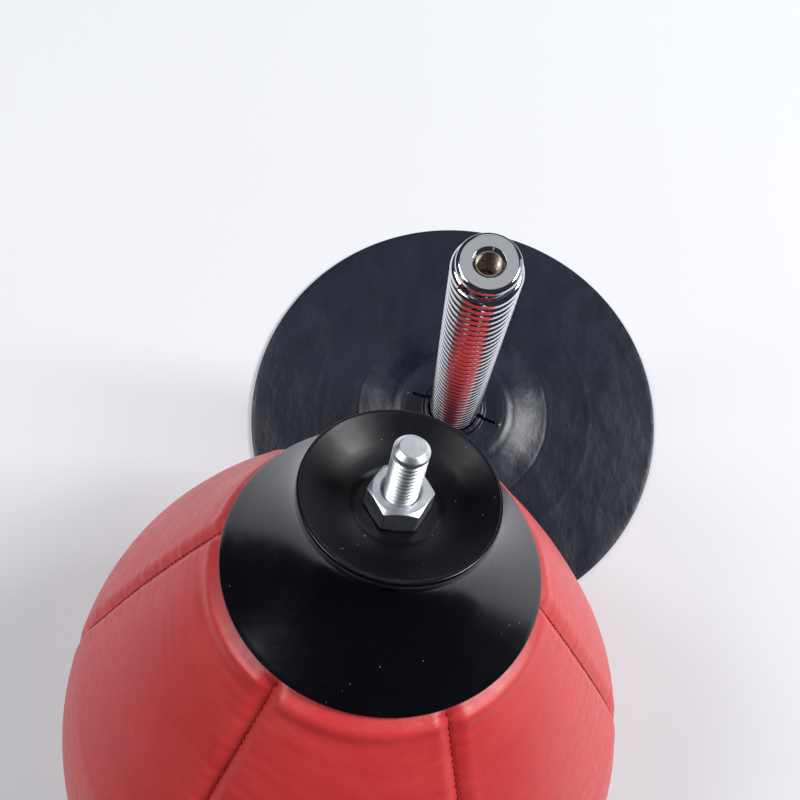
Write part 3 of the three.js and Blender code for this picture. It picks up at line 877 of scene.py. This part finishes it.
def seam_stitches(index, line, travelled, rim_at):
    """Thread that shows in one seam's valley, as short stitches sunk into the leather."""
    spacing, long, thick, sunk, from_valve = 1.75, 0.62, 0.22, 0.95, 6
    ring = around(8)
    belt = [math.pi * k / 5 for k in range(1, 5)]
    shape = [(0, 0, long)] + [
        (thick * math.sin(b) * math.cos(a), thick * math.sin(b) * math.sin(a), long * math.cos(b))
        for b in belt for a in ring
    ] + [(0, 0, -long)]
    shape = np.array(shape)
    side = len(ring)
    pattern = [(0, 1 + i, 1 + (i + 1) % side) for i in range(side)]
    for b in range(len(belt) - 1):
        s = 1 + b * side
        pattern += [(s + i, s + side + i, s + side + (i + 1) % side, s + (i + 1) % side) for i in range(side)]
    s = 1 + (len(belt) - 1) * side
    pattern += [(s + i, len(shape) - 1, s + (i + 1) % side) for i in range(side)]
    angle = math.radians(SEAM_PHASE) + index * 2 * math.pi / PANELS
    slope = np.gradient(line, axis=0)
    vertices, faces = [], []
    for at in np.arange(from_valve, rim_at - 1, spacing):
        r, z = (np.interp(at, travelled, line[:, k]) for k in (0, 1))
        run, rise = (np.interp(at, travelled, slope[:, k]) for k in (0, 1))
        up = Vector((run, 0, rise)).normalized()
        out = Vector((up.z, 0, -up.x))
        turn = Matrix((out, up.cross(out), up)).transposed()
        spot = np.array((r, 0, z)) - np.array(out) * sunk
        stray = np.array(Matrix.Rotation(float(drift(index, rim_at - at)), 3, "Z"))
        start = sum(len(v) for v in vertices)
        vertices.append((shape @ np.array(turn).T + spot) @ stray.T)
        faces += [tuple(start + i for i in face) for face in pattern]
    place = BALL @ Matrix.Rotation(angle, 4, "Z")
    made = piece(f"seam_stitching_{index + 1}", np.vstack(vertices), faces, place, THREAD)
    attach(made, "ball")


def bladder():
    """Inflated inner ball with its wall, inside the leather and flat under the pad."""
    outer = LEATHER + GAP

    def skin(inset, top):
        radius = BALL_R - inset
        polar = np.linspace(math.pi - math.asin((VALVE_R + GAP) / radius), math.radians(PEAR_FROM + 2), 60)
        ball = np.stack([radius * np.sin(polar), radius * np.cos(polar)], -1)
        below = (inset + 1.8) * NECK_OUT
        neck = [NECK_LINE[0] + (NECK_LINE[1] - NECK_LINE[0]) * t - below for t in (0.3, 0.6)]
        shoulder = curved([ball[-1], *neck, (28, top)], 8)[1:]
        return np.vstack([ball, shoulder, [(0, top)]])

    top = along_axis("head_pad")[0] - GAP
    outline = np.vstack([skin(outer, top)[::-1], skin(outer + BLADDER_WALL, top - BLADDER_WALL)])
    made = turned("inner_bladder", outline, BLADDER_SIDES, BALL, BLADDER)
    return fit(made, "ball", "bladder_rubber", "bladder")


def valve_body():
    """Valve sleeve with a groove near its outer end."""
    low, high = along_axis("valve_body")
    corners = [
        (VALVE_BORE_R, low, 0.3), (VALVE_R, low, 0.5), (VALVE_R, low + 1.2, 0.2),
        (VALVE_R - 0.5, low + 1.6, 0.2), (VALVE_R - 0.5, low + 2.4, 0.2), (VALVE_R, low + 2.8, 0.2),
        (VALVE_R, low + 6, 1), (VALVE_R - 1.5, high, 0.8), (VALVE_BORE_R, high, 0.3),
    ]
    made = turned("inflation_valve", rounded(corners, True), VALVE_SIDES, BALL, BLADDER, closed=True)
    return fit(made, "ball", "bladder_rubber", "valve_body")


def valve_plug():
    low, high = along_axis("valve_plug")
    corners = [
        (0, high, 0), (0.6, high - 0.3, 0.3), (1, high - 1.4, 0.3), (1, low + 0.3, 0.1), (3, low + 0.25, 0.1),
        (2.6, low, 0.15), (0, low, 0),
    ]
    made = turned("inflation_valve_plug", rounded(corners), VALVE_PLUG_SIDES, BALL, BLADDER)
    return fit(made, "ball", "bladder_rubber", "valve_plug")


for build in (suction_cup, base_washer, base_bolt, lower_spring_plug, upper_spring_plug, spring):
    build()
for build in (cone_shell, hex_nut, ball_stud, retaining_plate, head_pad, bladder, valve_body, valve_plug):
    build()
outline, travelled, rim_at = cover_outline()
for index in range(PANELS):
    cover_panel(index, outline, travelled, rim_at)
    seam_stitches(index, outline, travelled, rim_at)


# ---- studio --------------------------------------------------------------------------------------
def floor():
    """A pale light table: it glows a little from below, so that shadows on it stay faint."""
    look = Look(
        "studio_floor", (0.74, 0.75, 0.78), Roughness=0.7,
        Emission_Color=(0.96, 0.97, 1.0, 1), Emission_Strength=0.15,
    )
    material = look.finish(look.mix(look.noise(300, 3), (0.72, 0.73, 0.76, 1), (0.76, 0.77, 0.79, 1)))
    reach, front = 900, -420
    corners = [(x, y, 0) for x, y in ((-reach, front), (reach, front), (reach, reach), (-reach, reach))]
    piece("studio_floor", corners, [(0, 1, 2, 3)], BASE, material)


def softbox(name, place, target, wide, tall, glow):
    """An evenly lit panel, sized in metres. glow is how bright its face is; the table is a little under 1."""
    light = bpy.data.lights.new(name, "AREA")
    light.shape, light.size, light.size_y = "RECTANGLE", wide, tall
    light.energy, light.color = glow * math.pi * wide * tall, (0.97, 0.98, 1)
    made = bpy.data.objects.new(name, light)
    bpy.context.scene.collection.objects.link(made)
    made.location = place
    made.rotation_euler = (Vector(target) - Vector(place)).to_track_quat("-Z", "Y").to_euler()


def studio():
    """A key panel high on the right, a soft fill on the left, three dim panels that the metal mirrors, and
    a dark room."""
    floor()
    middle = (0, -0.03, 0.06)
    softbox("key", (1.65, 0.14, 1.5), middle, 0.85, 0.7, 24)
    softbox("fill", (-1.35, 0.2, 1.75), middle, 1.2, 0.9, 6.8)
    softbox("back", (0.5, 1.7, 0.95), middle, 1.5, 0.9, 0.9)
    softbox("over_back", (0.1, 1.0, 2.1), middle, 1.3, 0.9, 0.45)
    softbox("right", (2.1, 0.35, 0.55), middle, 1.6, 0.9, 0.45)
    world = bpy.data.worlds.new("dark_room")
    world.use_nodes = True
    background = world.node_tree.nodes["Background"]
    background.inputs["Color"].default_value = (0.72, 0.84, 1.0, 1)
    background.inputs["Strength"].default_value = 0.035
    bpy.context.scene.world = world
    bpy.context.scene.view_settings.view_transform = "Standard"


def camera():
    """Looks steeply down from the ball's side, over the cone and the spring."""
    place = Vector((-0.0251, -0.0986, 0.3736))
    forward, right = Vector((0.0034, 0.2706, -0.9627)), Vector((1.0, -0.0009, 0.0032))
    data = bpy.data.cameras.new("camera")
    data.lens, data.sensor_width = 38.25, 36
    made = bpy.data.objects.new("camera", data)
    bpy.context.scene.collection.objects.link(made)
    up = right.cross(forward)
    made.matrix_world = Matrix.Translation(place) @ Matrix((right, up, -forward)).transposed().to_4x4()
    bpy.context.scene.camera = made


studio()
camera()
